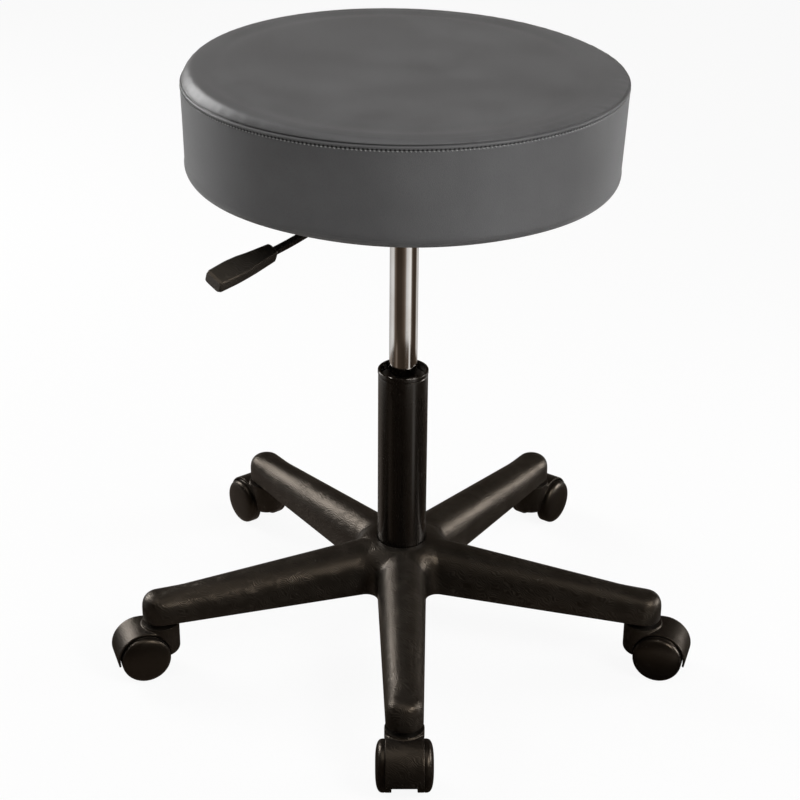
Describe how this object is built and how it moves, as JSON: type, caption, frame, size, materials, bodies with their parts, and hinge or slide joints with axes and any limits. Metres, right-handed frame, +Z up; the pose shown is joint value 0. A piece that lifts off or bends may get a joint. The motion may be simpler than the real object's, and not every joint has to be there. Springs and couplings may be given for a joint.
{
  "type": "massage stool",
  "caption": "Round padded swivel stool on a gas lift with a height lever, a moulded star base and twin-wheel casters, for sitting at a treatment table.",
  "frame": {"origin": "on the floor in the middle of the footprint's box; the column's axis stands 23.8 mm behind it", "axes": "+Z is up along the column, -Y is the front, where one leg of the star points, and +X is to the right seen from the front"},
  "size_m": [0.5936, 0.5646, 0.6159],
  "materials": {
    "black_nylon": "satin",
    "tread_plastic": "satin",
    "black_enamel": "gloss",
    "bush_plastic": "matte",
    "bright_steel": "satin",
    "chrome_plate": "polished",
    "brass_metal": "satin",
    "black_rubber": "matte",
    "handle_plastic": "satin",
    "plywood": "matte",
    "seat_foam": "matte",
    "grey_leather": "satin",
    "black_cloth": "matte"
  },
  "bodies": {
    "base": {"star_base": "black_nylon", "column_tube": "black_enamel", "guide_bush": "bush_plastic", "bearing_race_lower": "bright_steel", "caster_stem_1": "bright_steel", "caster_stem_2": "bright_steel", "caster_stem_3": "bright_steel", "caster_stem_4": "bright_steel", "caster_stem_5": "bright_steel"},
    "spindle": {"piston_rod": "bright_steel", "bump_ring": "black_rubber", "bearing_cage": "brass_metal", "bearing_race_upper": "bright_steel", "retaining_clip": "bright_steel"},
    "seat": {"gas_cylinder": "chrome_plate", "taper_socket": "bright_steel", "seat_plate": "black_enamel", "seat_bolt_1": "bright_steel", "seat_bolt_2": "bright_steel", "seat_bolt_3": "bright_steel", "seat_bolt_4": "bright_steel", "lever_grommet": "handle_plastic", "seat_board": "plywood", "seat_foam": "seat_foam", "cover_top": "grey_leather", "cover_band": "grey_leather", "dust_cover": "black_cloth"},
    "valve": {"valve_pin": "brass_metal"},
    "lever": {"lever_rod": "black_enamel", "lever_handle": "handle_plastic"},
    "caster_1": {"caster_hood_1": "black_nylon", "caster_axle_1": "bright_steel"},
    "wheel_1_left": {"caster_wheel_1_left": "tread_plastic"},
    "wheel_1_right": {"caster_wheel_1_right": "tread_plastic"},
    "caster_2": {"caster_hood_2": "black_nylon", "caster_axle_2": "bright_steel"},
    "wheel_2_left": {"caster_wheel_2_left": "tread_plastic"},
    "wheel_2_right": {"caster_wheel_2_right": "tread_plastic"},
    "caster_3": {"caster_hood_3": "black_nylon", "caster_axle_3": "bright_steel"},
    "wheel_3_left": {"caster_wheel_3_left": "tread_plastic"},
    "wheel_3_right": {"caster_wheel_3_right": "tread_plastic"},
    "caster_4": {"caster_hood_4": "black_nylon", "caster_axle_4": "bright_steel"},
    "wheel_4_left": {"caster_wheel_4_left": "tread_plastic"},
    "wheel_4_right": {"caster_wheel_4_right": "tread_plastic"},
    "caster_5": {"caster_hood_5": "black_nylon", "caster_axle_5": "bright_steel"},
    "wheel_5_left": {"caster_wheel_5_left": "tread_plastic"},
    "wheel_5_right": {"caster_wheel_5_right": "tread_plastic"}
  },
  "joints": [
    {"name": "seat_turn", "type": "hinge", "parent": "base", "child": "spindle", "pos_m": [0, 0.02379, 0], "axis": [0, 0, 1], "continuous": true},
    {"name": "seat_lift", "type": "slide", "parent": "spindle", "child": "seat", "axis": [0, 0, 1], "range_m": [-0.15, 0]},
    {"name": "lever_lift", "type": "hinge", "parent": "seat", "child": "lever", "pos_m": [-0.04101, -0.01722, 0.4995], "axis": [-0.7071, 0.7071, 0], "range_deg": [0, 4], "stiffness_Nm_per_rad": 2},
    {"name": "valve_press", "type": "slide", "parent": "seat", "child": "valve", "axis": [0, 0, 1], "range_m": [-0.0045, 0]},
    {"name": "caster_swivel_1", "type": "hinge", "parent": "base", "child": "caster_1", "pos_m": [0, -0.23421, 0], "axis": [0, 0, 1], "continuous": true},
    {"name": "wheel_spin_1_left", "type": "hinge", "parent": "caster_1", "child": "wheel_1_left", "pos_m": [0, -0.25421, 0.025], "axis": [1, 0, 0], "continuous": true},
    {"name": "wheel_spin_1_right", "type": "hinge", "parent": "caster_1", "child": "wheel_1_right", "pos_m": [0, -0.25421, 0.025], "axis": [1, 0, 0], "continuous": true},
    {"name": "caster_swivel_2", "type": "hinge", "parent": "base", "child": "caster_2", "pos_m": [0.24537, -0.05593, 0], "axis": [0, 0, 1], "continuous": true},
    {"name": "wheel_spin_2_left", "type": "hinge", "parent": "caster_2", "child": "wheel_2_left", "pos_m": [0.26439, -0.06211, 0.025], "axis": [0.309, 0.9511, 0], "continuous": true},
    {"name": "wheel_spin_2_right", "type": "hinge", "parent": "caster_2", "child": "wheel_2_right", "pos_m": [0.26439, -0.06211, 0.025], "axis": [0.309, 0.9511, 0], "continuous": true},
    {"name": "caster_swivel_3", "type": "hinge", "parent": "base", "child": "caster_3", "pos_m": [0.15165, 0.23252, 0], "axis": [0, 0, 1], "continuous": true},
    {"name": "wheel_spin_3_left", "type": "hinge", "parent": "caster_3", "child": "wheel_3_left", "pos_m": [0.1634, 0.2487, 0.025], "axis": [-0.809, 0.5878, 0], "continuous": true},
    {"name": "wheel_spin_3_right", "type": "hinge", "parent": "caster_3", "child": "wheel_3_right", "pos_m": [0.1634, 0.2487, 0.025], "axis": [-0.809, 0.5878, 0], "continuous": true},
    {"name": "caster_swivel_4", "type": "hinge", "parent": "base", "child": "caster_4", "pos_m": [-0.15165, 0.23252, 0], "axis": [0, 0, 1], "continuous": true},
    {"name": "wheel_spin_4_left", "type": "hinge", "parent": "caster_4", "child": "wheel_4_left", "pos_m": [-0.1634, 0.2487, 0.025], "axis": [-0.809, -0.5878, 0], "continuous": true},
    {"name": "wheel_spin_4_right", "type": "hinge", "parent": "caster_4", "child": "wheel_4_right", "pos_m": [-0.1634, 0.2487, 0.025], "axis": [-0.809, -0.5878, 0], "continuous": true},
    {"name": "caster_swivel_5", "type": "hinge", "parent": "base", "child": "caster_5", "pos_m": [-0.24537, -0.05593, 0], "axis": [0, 0, 1], "continuous": true},
    {"name": "wheel_spin_5_left", "type": "hinge", "parent": "caster_5", "child": "wheel_5_left", "pos_m": [-0.26439, -0.06211, 0.025], "axis": [0.309, -0.9511, 0], "continuous": true},
    {"name": "wheel_spin_5_right", "type": "hinge", "parent": "caster_5", "child": "wheel_5_right", "pos_m": [-0.26439, -0.06211, 0.025], "axis": [0.309, -0.9511, 0], "continuous": true}
  ],
  "couplings": [
    {"joint": "valve_press", "follows": "lever_lift", "m_per_rad": -0.0615}
  ]
}
